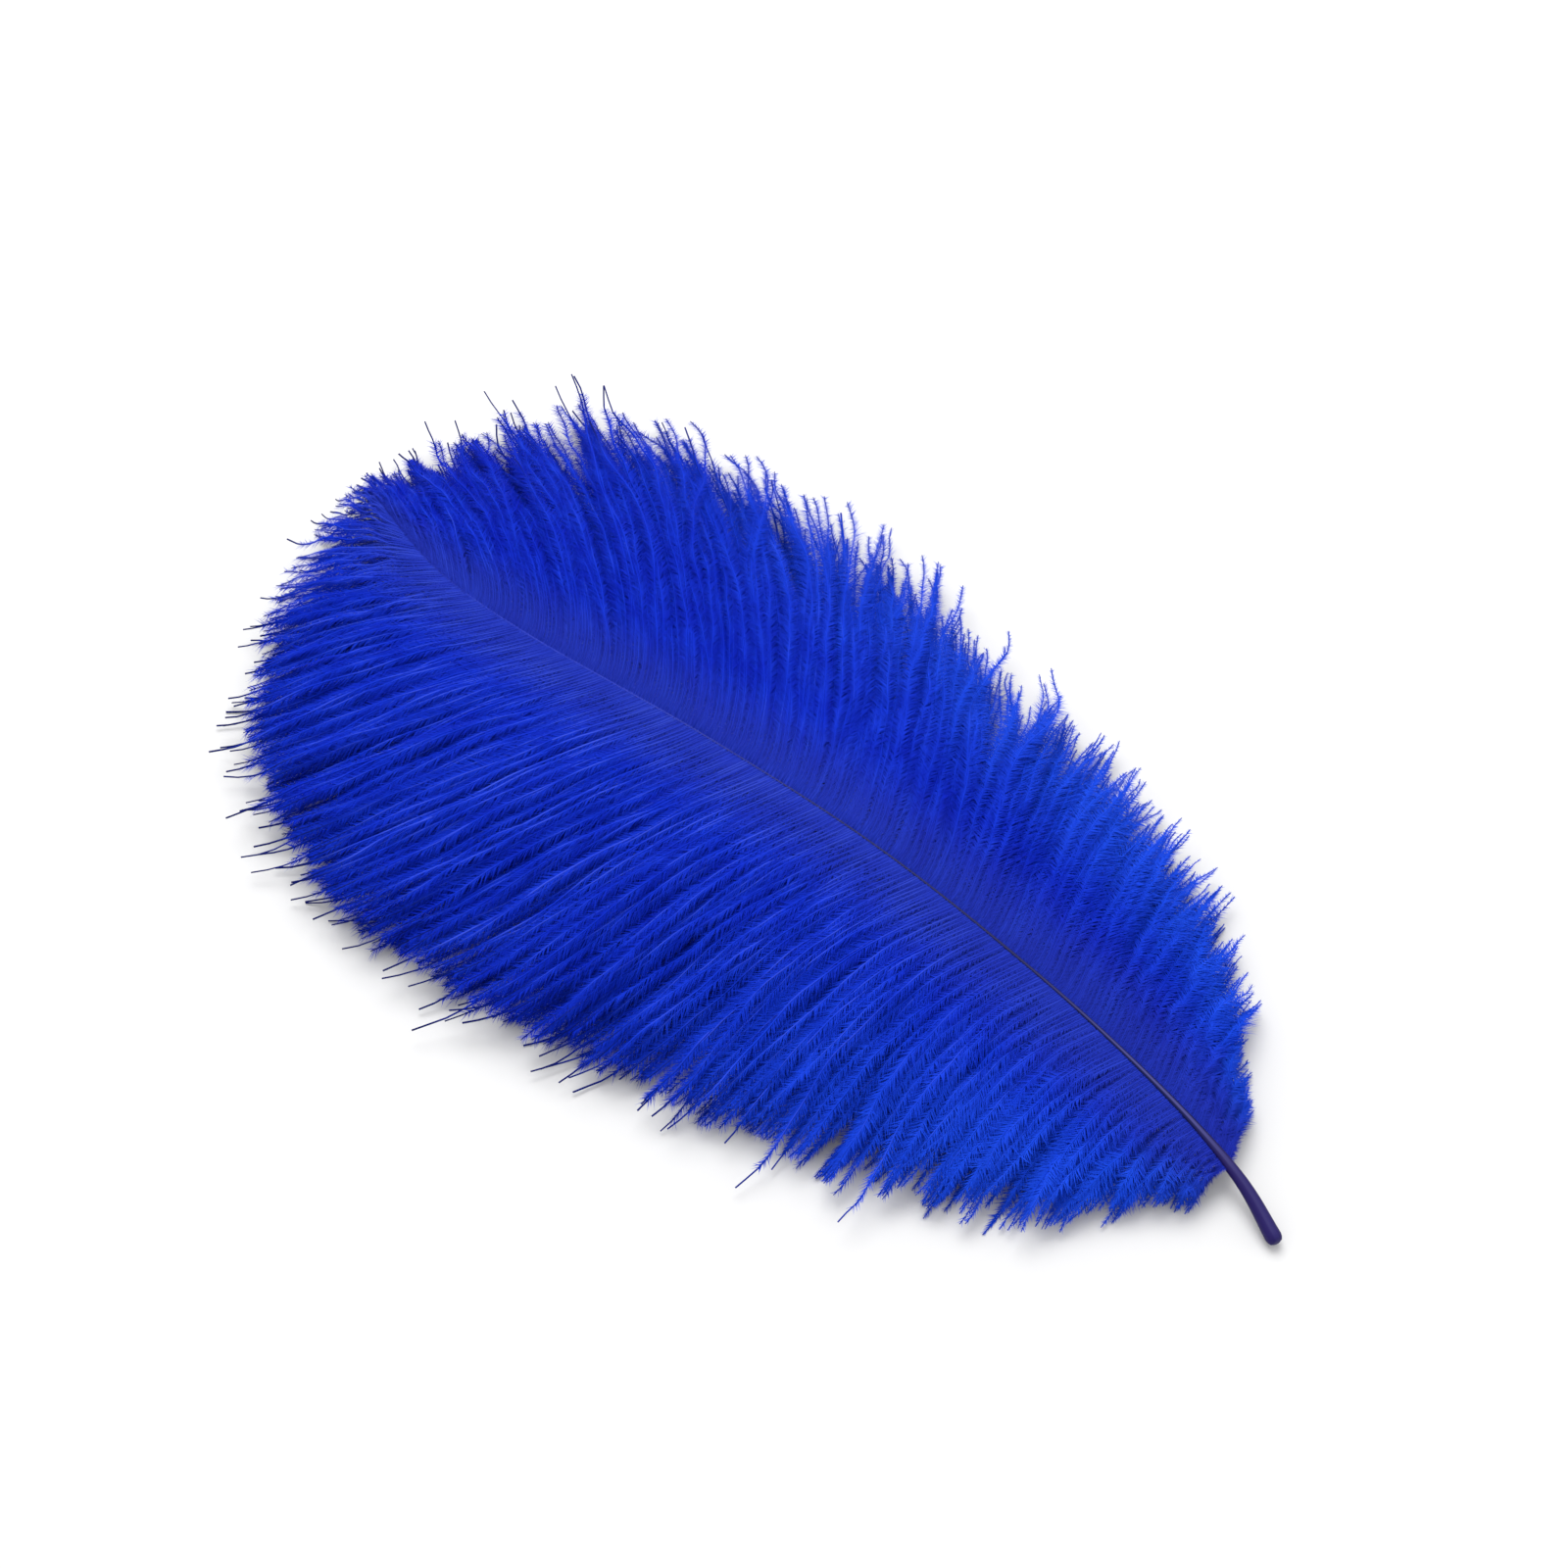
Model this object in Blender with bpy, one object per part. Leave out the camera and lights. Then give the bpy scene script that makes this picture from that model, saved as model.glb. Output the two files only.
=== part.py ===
# Ostrich plume lying on a flat surface, in one piece: a curved shaft with locks of barbs fused to both sides.
# Units are metres, +Z is up, and the surface it lies on is z = 0. +Y runs along the feather to its tip,
# and the origin is on that surface under the middle of the feather.

import math
import random

import bmesh
import bpy
from mathutils import Matrix, Vector

# Shaft: the middle line from the quill's cut end to the tip, counted from the quill end.
QUILL_END = Vector((0.0017, -0.1385, 0.0))
SHAFT_ROUTE = (
    (0.0000, 0.0000, 0.0018),
    (0.0050, 0.0150, 0.0049),
    (0.0072, 0.0380, 0.0100),
    (0.0070, 0.0690, 0.0165),
    (0.0048, 0.1100, 0.0223),
    (0.0005, 0.1550, 0.0236),
    (-0.0028, 0.2050, 0.0186),
    (-0.0015, 0.2350, 0.0150),
    (0.0050, 0.2620, 0.0120),
)
SHAFT_POINTS = 25
FINE_POINTS = 400
QUILL_RADIUS = 0.0018
RACHIS_RADIUS = 0.0011
SHAFT_TIP_RADIUS = 0.0004
QUILL_SHARE = 0.08
THINNING = 1.2
WELD_DISTANCE = 0.00001

# Vanes: how the barbs run at nine stations along the shaft, on each side. Angles are in degrees from +Y, in
# plan, where a barb leaves the shaft, at its middle and at its end. Reach is the length of a barb.
STATIONS = (0.08, 0.20, 0.35, 0.50, 0.60, 0.70, 0.80, 0.90, 1.00)
RIGHT_VANE = {
    "leave": (64, 60, 60, 52, 45, 40, 36, 32, 28),
    "middle": (76, 74, 66, 44, 34, 26, 20, 20, 22),
    "end": (80, 77, 66, 46, 38, 32, 24, 24, 26),
    "reach": (0.031, 0.057, 0.076, 0.098, 0.108, 0.095, 0.071, 0.042, 0.018),
}
LEFT_VANE = {
    "leave": (72, 70, 72, 76, 74, 70, 66, 54, 24),
    "middle": (80, 94, 88, 80, 73, 64, 54, 38, 8),
    "end": (72, 98, 88, 56, 48, 46, 40, 30, -6),
    "reach": (0.033, 0.055, 0.074, 0.084, 0.091, 0.081, 0.060, 0.034, 0.018),
}
BARB_SIZES = ("leave", "middle", "end", "reach")
DROOP_START = 2.2
DROOP_END = 1.6
BARB_STEPS = 24

# Locks: the bunches that the barbs hang together in. Lower and upper ones take turns, like tiles: the lower
# ones rest on the surface, and the upper ones lie over them and reach further.
LOCKS_PER_SIDE = 29
FIRST_LOCK = 0.085
LAST_LOCK = 0.985
LOCK_SECTION_SIDES = 6
LOCK_RINGS = (0.0, 0.16, 0.44, 0.74, 0.91, 1.0)
LOCK_OVERLAP = 1.6
LOCK_TAPER = (0.80, 0.90, 1.0, 0.97, 0.60, 0.07)
LEAST_HALF_WIDTH = 0.0026
LOCK_HALF_THICKNESS = 0.0022
THICKEST_SHARE_OF_WIDTH = 0.55
THICKNESS_TAPER = (0.25, 0.70, 1.0, 0.95, 0.65, 0.20)
LOWER_LAYER = {"lift": -0.0012, "tip_height": 0.0005, "lands_at": 0.90, "stretch": (0.90, 0.96)}
UPPER_LAYER = {"lift": 0.0014, "tip_height": 0.0050, "lands_at": 1.00, "stretch": (0.97, 1.05)}
SWELL = 0.0020
UNEVEN_PITCH = 0.12
UNEVEN_LEAN = 1.5
UNEVEN_ROLL = 9
SEED = 11

# The surface that the feather lies on, as wide, long and deep as it needs to be to trim the lowest locks.
SURFACE_SIZE = (0.4, 0.6, 0.02)

FEATHER_BLUE = (0.011, 0.028, 0.40, 1.0)


def clear_scene():
    for thing in list(bpy.data.objects):
        bpy.data.objects.remove(thing, do_unlink=True)


def collection(name):
    group = bpy.data.collections.new(name)
    bpy.context.scene.collection.children.link(group)
    return group


def dyed_feather():
    material = bpy.data.materials.new("dyed_feather")
    material.use_nodes = True
    shader = material.node_tree.nodes["Principled BSDF"]
    shader.inputs["Base Color"].default_value = FEATHER_BLUE
    shader.inputs["Roughness"].default_value = 0.75
    shader.inputs["Metallic"].default_value = 0.0
    return material


def blend(value, places, values):
    """Reads off a value between the two places on either side of it."""
    if value <= places[0]:
        return values[0]
    for low, high, first, second in zip(places, places[1:], values, values[1:]):
        if value <= high:
            return first + (second - first) * (value - low) / (high - low)
    return values[-1]


def smooth_route(points, count):
    """A smooth line through the route's points, as count points."""
    knots = [Vector(p) for p in points]
    knots = [2 * knots[0] - knots[1]] + knots + [2 * knots[-1] - knots[-2]]
    spans = len(points) - 1
    line = []
    for index in range(count):
        place = spans * index / (count - 1)
        span = min(int(place), spans - 1)
        f = place - span
        a, b, c, d = knots[span:span + 4]
        line.append(0.5 * (2 * b + (c - a) * f + (2 * a - 5 * b + 4 * c - d) * f ** 2
                           + (3 * b - a - 3 * c + d) * f ** 3))
    return line


FINE_LINE = [p + QUILL_END for p in smooth_route(SHAFT_ROUTE, FINE_POINTS)]
FINE_LENGTHS = [0.0]
for before, after in zip(FINE_LINE, FINE_LINE[1:]):
    FINE_LENGTHS.append(FINE_LENGTHS[-1] + (after - before).length)


def shaft_point(share):
    """The shaft's middle line at a share of its length, 0 at the quill's end and 1 at the tip."""
    goal = share * FINE_LENGTHS[-1]
    return Vector([blend(goal, FINE_LENGTHS, [p[axis] for p in FINE_LINE]) for axis in range(3)])


def shaft_radius(share):
    if share < QUILL_SHARE:
        return QUILL_RADIUS
    along = (share - QUILL_SHARE) / (1 - QUILL_SHARE)
    return SHAFT_TIP_RADIUS + (RACHIS_RADIUS - SHAFT_TIP_RADIUS) * (1 - along) ** THINNING


def shaft_mesh():
    """The quill and rachis: a round tube on the middle line that thins to the tip."""
    curve = bpy.data.curves.new("shaft_line", "CURVE")
    curve.dimensions = "3D"
    curve.bevel_depth = QUILL_RADIUS
    curve.bevel_resolution = 2
    curve.use_fill_caps = True
    spline = curve.splines.new("POLY")
    spline.points.add(SHAFT_POINTS - 1)
    for index, point in enumerate(spline.points):
        share = index / (SHAFT_POINTS - 1)
        point.co = (*shaft_point(share), 1.0)
        point.radius = shaft_radius(share) / QUILL_RADIUS
    guide = bpy.data.objects.new("shaft_line", curve)
    bpy.context.scene.collection.objects.link(guide)
    evaluated = guide.evaluated_get(bpy.context.evaluated_depsgraph_get())
    mesh = bpy.data.meshes.new_from_object(evaluated)
    bpy.data.objects.remove(guide, do_unlink=True)
    bm = bmesh.new()
    bm.from_mesh(mesh)
    bmesh.ops.remove_doubles(bm, verts=bm.verts, dist=WELD_DISTANCE)
    bmesh.ops.triangulate(bm, faces=bm.faces)
    bm.to_mesh(mesh)
    bm.free()
    return mesh


def barb_line(vane, side, share, layer, stretch, lean):
    """The middle line of a lock: out from the shaft, bending towards the tip and drooping to the surface."""
    leave, middle, end, reach = [blend(share, STATIONS, vane[key]) for key in BARB_SIZES]
    root = shaft_point(share)
    plan = [Vector((root.x, root.y))]
    stride = reach * stretch / BARB_STEPS
    for index in range(BARB_STEPS):
        t = (index + 0.5) / BARB_STEPS
        angle = math.radians(leave * (1 - t) ** 2 + 2 * middle * t * (1 - t) + end * t ** 2 + lean)
        plan.append(plan[-1] + stride * Vector((side * math.sin(angle), math.cos(angle))))
    line = []
    for index, spot in enumerate(plan):
        t = index / BARB_STEPS
        droop = 1 - (1 - min(1.0, t / layer["lands_at"]) ** DROOP_START) ** DROOP_END
        height = root.z * (1 - droop) + layer["tip_height"] * droop
        line.append(Vector((spot.x, spot.y, height + (layer["lift"] + SWELL) * math.sin(math.pi * t))))
    return line


def read_line(line, t):
    """A point on a line at t, from 0 to 1, and the direction of the line there."""
    place = t * (len(line) - 1)
    index = min(int(place), len(line) - 2)
    return line[index].lerp(line[index + 1], place - index), (line[index + 1] - line[index]).normalized()


def lock_mesh(line, before, after, roll, name):
    """A six-sided prism with rings, laid along its line and pinched to a point. Its width follows the space
    between the lines before and after it, so that the locks overlap evenly wherever they fan out."""
    bm = bmesh.new()
    turn = Matrix.Rotation(math.pi / LOCK_SECTION_SIDES, 4, "Z")
    bmesh.ops.create_cone(bm, cap_ends=True, segments=LOCK_SECTION_SIDES, radius1=1.0, radius2=1.0, depth=1.0,
                          matrix=Matrix.Translation((0, 0, 0.5)) @ turn)
    long_edges = [e for e in bm.edges if abs(e.verts[0].co.z - e.verts[1].co.z) > 0.5]
    spans = len(LOCK_RINGS) - 1
    bmesh.ops.subdivide_edges(bm, edges=long_edges, cuts=spans - 1)
    for vertex in bm.verts:
        ring = round(vertex.co.z * spans)
        t = LOCK_RINGS[ring]
        centre, along = read_line(line, t)
        across = along.cross(Vector((0, 0, 1))).normalized()
        space = abs((read_line(after, t)[0] - read_line(before, t)[0]).dot(across))
        half_width = max(LEAST_HALF_WIDTH, space / 2 * LOCK_OVERLAP)
        half_thickness = min(LOCK_HALF_THICKNESS, half_width * THICKEST_SHARE_OF_WIDTH)
        across.rotate(Matrix.Rotation(roll, 3, along))
        up = across.cross(along)
        vertex.co = (centre + across * vertex.co.x * half_width * LOCK_TAPER[ring]
                     + up * vertex.co.y * half_thickness * THICKNESS_TAPER[ring])
    bmesh.ops.recalc_face_normals(bm, faces=bm.faces)
    bmesh.ops.triangulate(bm, faces=bm.faces)
    mesh = bpy.data.meshes.new(name)
    bm.to_mesh(mesh)
    bm.free()
    return mesh


def add_locks(group):
    """Both vanes as separate locks, each its own guide object, ready to be fused to the shaft."""
    draw = random.Random(SEED)
    pitch = (LAST_LOCK - FIRST_LOCK) / (LOCKS_PER_SIDE - 1)
    for vane, side, word in ((RIGHT_VANE, 1, "right"), (LEFT_VANE, -1, "left")):
        for index in range(LOCKS_PER_SIDE):
            share = FIRST_LOCK + pitch * (index + draw.uniform(-UNEVEN_PITCH, UNEVEN_PITCH))
            layer = UPPER_LAYER if index % 2 else LOWER_LAYER
            stretch = draw.uniform(*layer["stretch"])
            lean = draw.uniform(-UNEVEN_LEAN, UNEVEN_LEAN)
            roll = math.radians(draw.uniform(-UNEVEN_ROLL, UNEVEN_ROLL))
            line = barb_line(vane, side, share, layer, stretch, lean)
            before = barb_line(vane, side, share - pitch / 2, layer, stretch, lean)
            after = barb_line(vane, side, share + pitch / 2, layer, stretch, lean)
            name = f"lock_{word}_{index + 1}"
            guide = bpy.data.objects.new(name, lock_mesh(line, before, after, roll, name))
            guide.hide_render = True
            guide.display_type = "WIRE"
            group.objects.link(guide)


def add_surface(group):
    """The surface that the feather lies on, as a cutter: it flattens the locks where they rest."""
    bm = bmesh.new()
    width, length, depth = SURFACE_SIZE
    size = Matrix.Diagonal((width, length, depth, 1.0))
    bmesh.ops.create_cube(bm, size=1.0, matrix=Matrix.Translation((0, 0, -depth / 2)) @ size)
    mesh = bpy.data.meshes.new("surface")
    bm.to_mesh(mesh)
    bm.free()
    cutter = bpy.data.objects.new("surface", mesh)
    cutter.hide_render = True
    cutter.display_type = "WIRE"
    group.objects.link(cutter)
    return cutter


def add_feather(group, locks, surface):
    feather = bpy.data.objects.new("feather", shaft_mesh())
    feather.data.materials.clear()
    feather.data.materials.append(dyed_feather())
    group.objects.link(feather)
    fuse = feather.modifiers.new("fuse_locks", "BOOLEAN")
    fuse.operation = "UNION"
    fuse.solver = "EXACT"
    fuse.operand_type = "COLLECTION"
    fuse.collection = locks
    rest = feather.modifiers.new("lie_on_surface", "BOOLEAN")
    rest.operation = "DIFFERENCE"
    rest.solver = "EXACT"
    rest.object = surface
    return feather


def main():
    clear_scene()
    parts = collection("ostrich_feather")
    locks = collection("locks")
    cutters = collection("cutters")
    add_locks(locks)
    add_feather(parts, locks, add_surface(cutters))


main()
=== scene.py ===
# %% [markdown]
# # A dyed ostrich plume, lying on a table
# The real plume is one thing that grew: a hard quill that turns into a thin shaft, and on both sides of it
# hundreds of soft barbs. Each barb is a fine rod with two rows of finer barbules, like a plume of its own.
# The solid part already holds the shaft and the locks that the barbs hang in. This lesson lays loose barbs along
# nearly the same lines, so that the plume gets its fringe and its parting strands.

# %% The frame
import math

import bpy
import numpy as np
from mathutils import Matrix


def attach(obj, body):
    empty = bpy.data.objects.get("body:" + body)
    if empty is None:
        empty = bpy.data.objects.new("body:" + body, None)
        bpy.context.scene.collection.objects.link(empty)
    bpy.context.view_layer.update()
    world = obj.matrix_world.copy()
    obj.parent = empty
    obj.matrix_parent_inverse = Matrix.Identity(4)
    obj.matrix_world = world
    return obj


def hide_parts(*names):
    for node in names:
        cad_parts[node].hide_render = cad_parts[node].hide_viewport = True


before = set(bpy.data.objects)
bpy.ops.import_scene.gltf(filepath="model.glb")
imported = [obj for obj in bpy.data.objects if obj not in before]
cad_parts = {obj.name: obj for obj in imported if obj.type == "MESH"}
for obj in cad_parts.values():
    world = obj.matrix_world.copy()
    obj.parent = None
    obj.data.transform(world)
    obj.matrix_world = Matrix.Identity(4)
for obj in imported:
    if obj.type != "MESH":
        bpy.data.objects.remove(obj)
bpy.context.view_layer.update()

# %% [markdown]
# ## The line of the shaft
# The shaft rises from the cut end of the quill, arches over the vanes that carry it and sinks to the tip. It is
# the same handful of points as in the solid part, in metres, with a smooth curve read through them. Everything
# else is placed by its share of this line, from 0 at the quill's end to 1 at the tip.

# %% The shaft's line
QUILL_END = np.array((0.0017, -0.1385, 0.0))
SHAFT_ROUTE = np.array((
    (0.0000, 0.0000, 0.0018),
    (0.0050, 0.0150, 0.0049),
    (0.0072, 0.0380, 0.0100),
    (0.0070, 0.0690, 0.0165),
    (0.0048, 0.1100, 0.0223),
    (0.0005, 0.1550, 0.0236),
    (-0.0028, 0.2050, 0.0186),
    (-0.0015, 0.2350, 0.0150),
    (0.0050, 0.2620, 0.0120),
))
FINE_POINTS = 400


def smooth_route(points, count):
    """A smooth line through the points, as count points."""
    knots = np.vstack([2 * points[0] - points[1], points, 2 * points[-1] - points[-2]])
    place = np.linspace(0, len(points) - 1, count)
    span = np.minimum(place.astype(int), len(points) - 2)
    f = (place - span)[:, None]
    a, b, c, d = (knots[span + k] for k in range(4))
    return 0.5 * (2 * b + (c - a) * f + (2 * a - 5 * b + 4 * c - d) * f ** 2 + (3 * b - a - 3 * c + d) * f ** 3)


def lengths_along(line):
    """How far each point of a line is from its start, along the line."""
    return np.concatenate([[0.0], np.cumsum(np.linalg.norm(np.diff(line, axis=0), axis=1))])


SHAFT_LINE = smooth_route(SHAFT_ROUTE, FINE_POINTS) + QUILL_END
SHAFT_LENGTH = lengths_along(SHAFT_LINE)[-1]
SHAFT_SHARES = lengths_along(SHAFT_LINE) / SHAFT_LENGTH


def read_line(places, known, line):
    """Points of a line at the places, where known is the place of each of its own points."""
    return np.stack([np.interp(places, known, line[:, axis]) for axis in range(line.shape[1])], -1)


print("shaft", round(1000 * SHAFT_LENGTH, 1), "mm long")

# %% [markdown]
# ## How the barbs run
# A barb leaves the shaft at a steep angle and swings towards the tip, more on one side than on the other. Ten
# stations along the shaft say how: the angle in degrees from the shaft where a barb leaves, at its middle and at
# its end, and how far it reaches in metres. A grid of points worked out from them gives the lie of the vane at
# any share of the shaft and of a barb, a little past its end too. Bending single barbs by hand would never stay
# as even as this.

# %% The lie of the two vanes
STATIONS = (0.08, 0.13, 0.20, 0.35, 0.50, 0.60, 0.70, 0.80, 0.90, 1.00)
RIGHT_VANE = {
    "leave": (62, 64, 62, 62, 56, 50, 46, 42, 36, 20),
    "middle": (70, 76, 76, 66, 43, 32, 23, 16, 16, 14),
    "end": (80, 82, 77, 60, 38, 31, 27, 24, 22, 10),
    "reach": (0.018, 0.038, 0.055, 0.076, 0.104, 0.114, 0.099, 0.070, 0.042, 0.014),
}
LEFT_VANE = {
    "leave": (78, 76, 72, 72, 76, 74, 70, 66, 54, -8),
    "middle": (98, 97, 95, 88, 80, 73, 64, 54, 38, -14),
    "end": (102, 100, 97, 84, 56, 50, 50, 46, 34, -20),
    "reach": (0.013, 0.035, 0.050, 0.068, 0.082, 0.087, 0.078, 0.062, 0.038, 0.013),
}
BARB_SIZES = ("leave", "middle", "end", "reach")
FIRST_BARB, LAST_BARB = 0.066, 0.998
BARB_SPAN = LAST_BARB - FIRST_BARB
ROOT_TURN = {1: 24, -1: 8}
ROOT_PART = 0.05
LAST_ROOT_TURN = 0.85
GRID_SHARES = 160
BARB_STEPS = 40
LONGEST_STRETCH = 1.4


def vane_grid(vane, side):
    """The vane in plan: a row of points for each share of the shaft, with a point for each step of a barb."""
    shares = np.linspace(0.0, 1.0, GRID_SHARES)
    leave, middle, end, reach = (np.interp(shares, STATIONS, vane[key])[:, None] for key in BARB_SIZES)
    steps = int(BARB_STEPS * LONGEST_STRETCH)
    t = np.minimum((np.arange(steps) + 0.5) / BARB_STEPS, 1.0)
    root = ROOT_TURN[side] * np.exp(-t / ROOT_PART) * (shares < LAST_ROOT_TURN)[:, None]
    angle = np.radians(leave * (1 - t) ** 2 + 2 * middle * t * (1 - t) + end * t ** 2 + root)
    stride = np.stack([side * np.sin(angle), np.cos(angle)], -1) * reach[..., None] / BARB_STEPS
    start = read_line(shares, SHAFT_SHARES, SHAFT_LINE[:, :2])[:, None]
    return np.concatenate([start, start + np.cumsum(stride, axis=1)], axis=1)


def read_grid(grid, share, t):
    """A point of the vane for each share of the shaft and each share of a barb."""
    row = np.clip(share, 0, 1) * (grid.shape[0] - 1)
    column = np.clip(t * BARB_STEPS, 0, grid.shape[1] - 1)
    i = np.minimum(row.astype(int), grid.shape[0] - 2)
    j = np.minimum(column.astype(int), grid.shape[1] - 2)
    a, b = (row - i)[:, None], (column - j)[:, None]
    low = grid[i, j] * (1 - b) + grid[i, j + 1] * b
    high = grid[i + 1, j] * (1 - b) + grid[i + 1, j + 1] * b
    return low * (1 - a) + high * a


VANES = {
    "right": (RIGHT_VANE, 1, vane_grid(RIGHT_VANE, 1)),
    "left": (LEFT_VANE, -1, vane_grid(LEFT_VANE, -1)),
}
for word, (vane, side, grid) in VANES.items():
    print(word, "vane reaches", round(1000 * max(vane["reach"])), "mm, grid", grid.shape)

# %% [markdown]
# ## One barbule, and the comb that they make
# A barbule is a soft hair, here about three millimetres long. Modelled once, it is a single narrow triangle: a
# square face whose far edge is merged into a point. An Array lays a few hundred of them side by side on one base
# line, and a Mirror gives the other side of the rod. In this comb X only counts barbules and Y only says which
# side, so it can be laid along any line later, with any length and lean. Hair curves would not survive an export.
# The rod that carries them is a cylinder with three sides. Its ends are clipped to exactly 0 and 1, because a
# point a hair below 0 can't be raised to a power later.

# %% The comb of barbules and the rod
BARBULE_PITCH = 0.00030
MOST_BARBULES = 460
ROD_SIDES = 3
ROD_STEPS = 26
MERGE = 0.0001


def deselect():
    if bpy.context.object and bpy.context.object.mode != "OBJECT":
        bpy.ops.object.mode_set(mode="OBJECT")
    bpy.ops.object.select_all(action="DESELECT")


def select_vertices(piece, wanted):
    """Selects the vertices of the piece in edit mode for which wanted(point) is true."""
    bpy.ops.mesh.select_all(action="DESELECT")
    bpy.ops.object.mode_set(mode="OBJECT")
    for vertex in piece.data.vertices:
        vertex.select = wanted(vertex.co)
    bpy.ops.object.mode_set(mode="EDIT")


def apply_modifiers(piece):
    for modifier in list(piece.modifiers):
        bpy.ops.object.modifier_apply(modifier=modifier.name)


def as_arrays(piece):
    """The vertices and triangles of a piece, sorted along X, and the piece removed."""
    mesh = piece.data
    points = np.zeros(len(mesh.vertices) * 3)
    mesh.vertices.foreach_get("co", points)
    points = points.reshape(-1, 3)
    faces = np.array([tuple(p.vertices) for p in mesh.polygons])
    order = np.lexsort((points[:, 1], np.round(points[:, 0], 4)))
    rank = np.empty(len(order), int)
    rank[order] = np.arange(len(order))
    points, faces = points[order], rank[faces]
    faces = faces[np.argsort(faces.max(axis=1), kind="stable")]
    bpy.data.objects.remove(piece, do_unlink=True)
    return points, faces


def barbule_comb():
    deselect()
    bpy.ops.mesh.primitive_plane_add(size=1, location=(0.5, 0.5, 0))
    comb = bpy.context.object
    bpy.ops.object.transform_apply(location=True)
    bpy.ops.object.mode_set(mode="EDIT")
    bpy.ops.mesh.select_mode(type="VERT")
    select_vertices(comb, lambda co: co.y > 0.5)
    bpy.ops.mesh.merge(type="CENTER")
    bpy.ops.object.mode_set(mode="OBJECT")
    row = comb.modifiers.new("row", "ARRAY")
    row.count = MOST_BARBULES
    row.use_relative_offset = False
    row.use_constant_offset = True
    row.constant_offset_displace = (1, 0, 0)
    row.use_merge_vertices = True
    row.merge_threshold = MERGE
    both = comb.modifiers.new("both_sides", "MIRROR")
    both.use_axis = (False, True, False)
    both.merge_threshold = MERGE
    apply_modifiers(comb)
    return as_arrays(comb)


def thin_rod(sides, steps):
    """A closed rod along X from 0 to 1, of radius 1."""
    deselect()
    bpy.ops.mesh.primitive_cylinder_add(vertices=sides, radius=1, depth=1, end_fill_type="NGON",
                                        location=(0.5, 0, 0), rotation=(0, math.pi / 2, 0))
    rod = bpy.context.object
    bpy.ops.object.transform_apply(location=True, rotation=True)
    bpy.ops.object.mode_set(mode="EDIT")
    bpy.ops.mesh.select_mode(type="EDGE")
    bpy.ops.mesh.select_all(action="DESELECT")
    bpy.ops.object.mode_set(mode="OBJECT")
    for edge in rod.data.edges:
        first, second = (rod.data.vertices[v].co for v in edge.vertices)
        edge.select = abs(first.x - second.x) > 0.5
    bpy.ops.object.mode_set(mode="EDIT")
    bpy.ops.mesh.subdivide(number_cuts=steps - 1)
    bpy.ops.mesh.select_all(action="SELECT")
    bpy.ops.mesh.quads_convert_to_tris()
    bpy.ops.object.mode_set(mode="OBJECT")
    points, faces = as_arrays(rod)
    points[:, 0] = np.clip(points[:, 0], 0, 1)
    return points, faces


def is_end(points, faces):
    """Which faces of a rod close one of its ends. They stay flat, and the rest is shaded smooth."""
    return np.ptp(points[faces, 0], axis=1) < MERGE


COMB_POINTS, COMB_FACES = barbule_comb()
ROD_POINTS, ROD_FACES = thin_rod(ROD_SIDES, ROD_STEPS)
ROD_ENDS = is_end(ROD_POINTS, ROD_FACES)
print("comb", COMB_POINTS.shape, COMB_FACES.shape, "rod", ROD_POINTS.shape, ROD_FACES.shape)

# %% [markdown]
# ## The line of one barb
# The barb's own line is read from the grid. On the way out it slides towards the middle of its strand and then
# of its lock, which is how barbs that cling together part from their neighbours. Long barbs wave more than short
# ones. From the side, a barb falls from the height of the shaft to where its end lies, a little above the table.
# Each start is pushed slightly into the shaft, so that no gap shows along the seam.

# %% A barb's line
LINE_POINTS = 60
DROOP_START = 2.2
DROOP_END = 1.6
SWELL = 0.0020
FULL_REACH = 0.07
LONG_REACH = 0.09
ROOT_OVERLAP = 0.0003
OVERLAP_FADES = (0.0, 0.08)
CLINGS_OVER = (0.05, 0.55)
GATHERS_OVER = (0.45, 1.05)
CURLS_OVER = (0.7, 1.15)
DIVES_OVER = (0.05, 0.3)
STRAND_WAVES = 1.3
SWAY_GROWS = 1.5
LEAST_HEIGHT = 0.0003


def smooth_step(low, high, value):
    f = np.clip((value - low) / (high - low), 0, 1)
    return f * f * (3 - 2 * f)


def at_least(least, f):
    """A factor that is least where f is 0, and 1 where f is 1."""
    return least + (1 - least) * f


def ripple(t, count, phase):
    """A wave of height 1 that runs count times over a barb."""
    return np.sin(2 * math.pi * (t * count + phase))


def barb_plan(grid, barb, t):
    """A barb seen from above, drawn towards its strand and then towards its lock."""
    share = barb["share"] + (barb["strand"] - barb["share"]) * barb["cling"] * smooth_step(*CLINGS_OVER, t)
    share = share + (barb["lock"] - share) * barb["gather"] * smooth_step(*GATHERS_OVER, t)
    return read_grid(grid, share, t)


def barb_sway(barb, t, reach):
    """How far a barb leans and waves to its side."""
    short = min(1.0, reach / LONG_REACH)
    sway = reach * math.tan(barb["lean"]) * t ** SWAY_GROWS
    sway = sway + barb["wave"] * short * t * ripple(t, barb["waves"], barb["phase"])
    sway = sway + barb["kink"] * short * np.sqrt(t) * ripple(t, barb["kinks"], barb["strand_phase"])
    strand = barb["strand_wave"] * short ** 2 * t ** SWAY_GROWS
    return sway + strand * ripple(t, STRAND_WAVES, barb["strand_phase"])


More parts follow.
